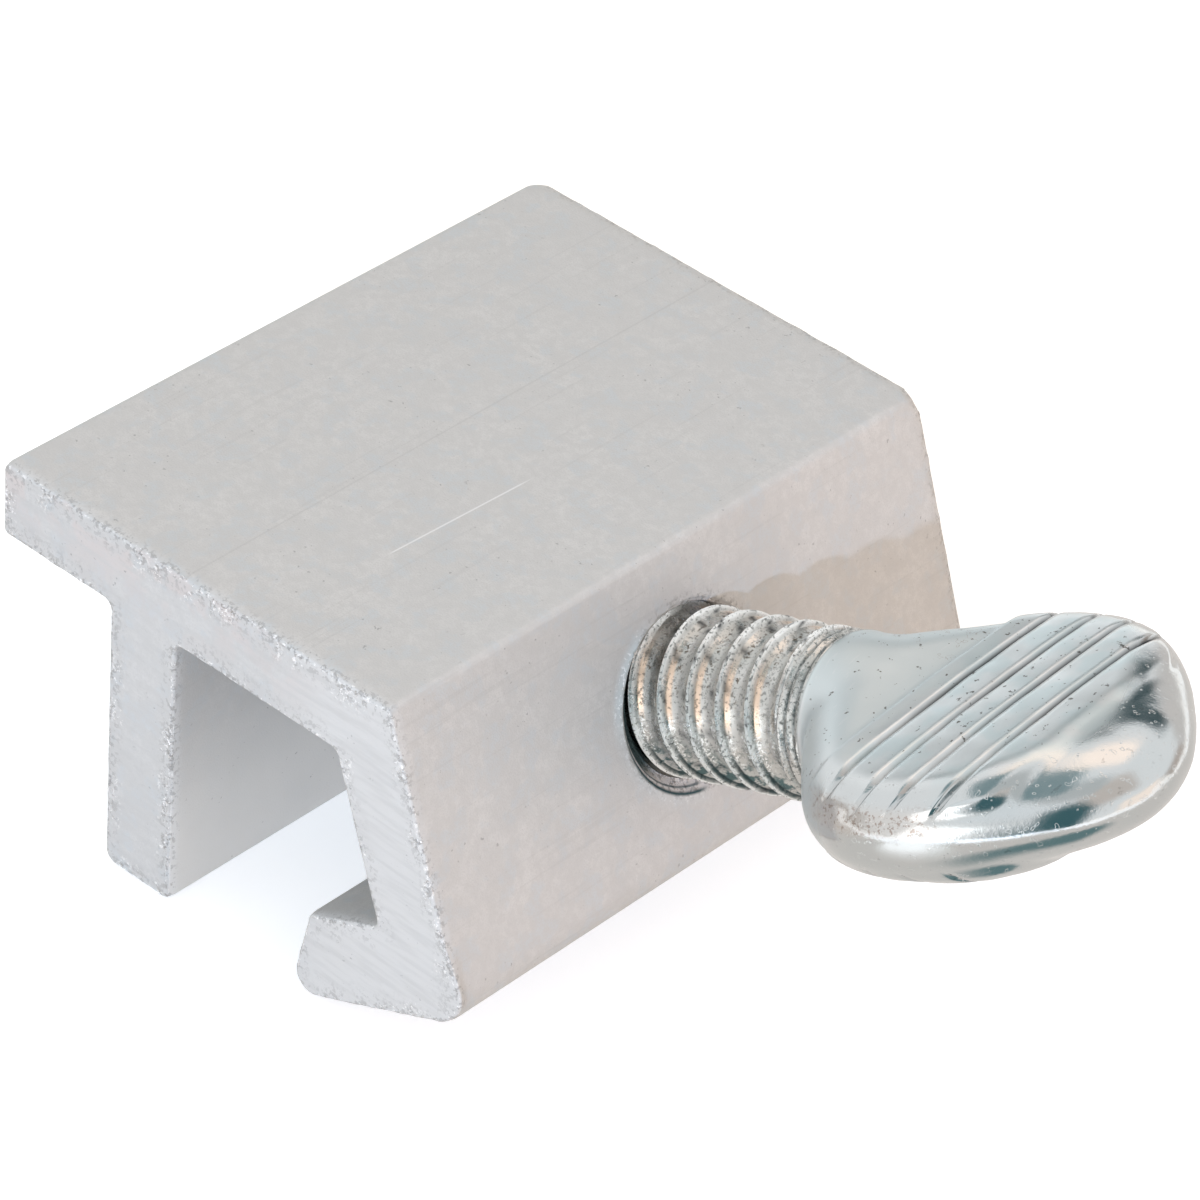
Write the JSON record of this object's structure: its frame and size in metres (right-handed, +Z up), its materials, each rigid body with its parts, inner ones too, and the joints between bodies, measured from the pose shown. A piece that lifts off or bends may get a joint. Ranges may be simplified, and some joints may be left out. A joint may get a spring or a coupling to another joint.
{
  "type": "sash lock",
  "caption": "Clamp-on sash lock for a sliding window: a short channel of aluminium with a sloping wall, and a spade-headed thumbscrew that presses the track fin against the leg.",
  "frame": {"origin": "middle of the straight leg's inner face, which the window's track fin bears on", "axes": "+X from the leg towards the thumbscrew, +Y along the extrusion, +Z up out of the flat top plate"},
  "size_m": [0.0414, 0.0274, 0.0189],
  "materials": {
    "extruded_aluminium": "bare mill finish, sawn ends",
    "zinc_plated_steel": "bright zinc plating over a forging"
  },
  "bodies": {
    "body": {"lock_body": "extruded_aluminium"},
    "screw": {"thumbscrew": "zinc_plated_steel"}
  },
  "joints": [
    {"name": "thumbscrew_travel", "type": "slide", "parent": "body", "child": "screw", "axis": [0.9272, 0, 0.3746], "range_m": [-0.007, 0.0028]}
  ]
}
